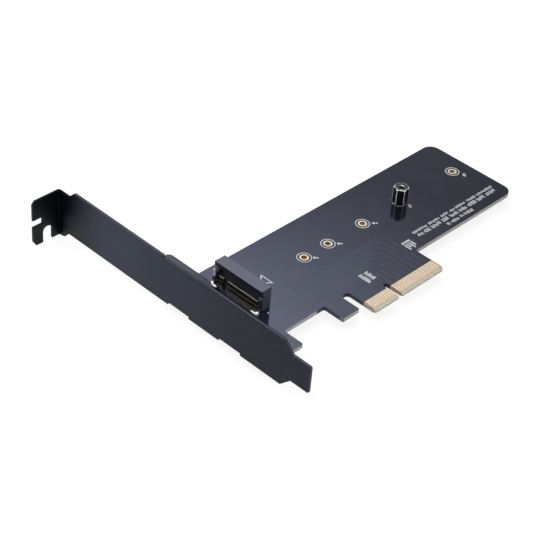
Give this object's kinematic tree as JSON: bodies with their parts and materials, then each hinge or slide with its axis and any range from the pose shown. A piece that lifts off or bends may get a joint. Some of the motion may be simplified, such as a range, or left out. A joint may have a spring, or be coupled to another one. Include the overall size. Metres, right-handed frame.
{
  "type": "PCI Express adapter card for an M.2 drive",
  "caption": "Low add-in card that carries an M.2 drive: black board with a gold card edge and key notch, hook, tall edge socket, hex standoff and folded black slot bracket.",
  "frame": {"origin": "middle of the card edge's key notch, on the mating edge, at half the board's thickness", "axes": "+X along the card edge away from the bracket, +Y from the card edge into the board, +Z out of the component side"},
  "size_m": [0.1495, 0.1201, 0.0216],
  "materials": {
    "board": "glossy black solder mask over glass laminate, bare tan edges",
    "gold": "thin gold plate over copper",
    "socket_plastic": "fine-grained black moulding",
    "contact_metal": "plated spring metal",
    "tinned_metal": "tinned, with solder",
    "black_nickel": "dark nickel plate, turned",
    "screw_steel": "plated steel",
    "black_coat": "fine-textured black powder coat over sheet steel"
  },
  "bodies": {
    "root": {"circuit_board": "board", "finger_pads_front_short": "gold", "finger_pads_front_long": "gold", "finger_pads_back_short": "gold", "finger_pads_back_long": "gold", "plated_hole_30": "gold", "plated_hole_42": "gold", "plated_hole_60": "gold", "plated_hole_80": "gold", "plated_hole_110": "gold", "socket_housing": "socket_plastic", "socket_contacts_upper": "contact_metal", "socket_contacts_lower": "contact_metal", "socket_holddown_left": "tinned_metal", "socket_holddown_right": "tinned_metal", "standoff": "black_nickel", "standoff_screw": "screw_steel", "bracket": "black_coat", "bracket_screw_lower": "screw_steel", "bracket_screw_upper": "screw_steel"}
  },
  "joints": []
}
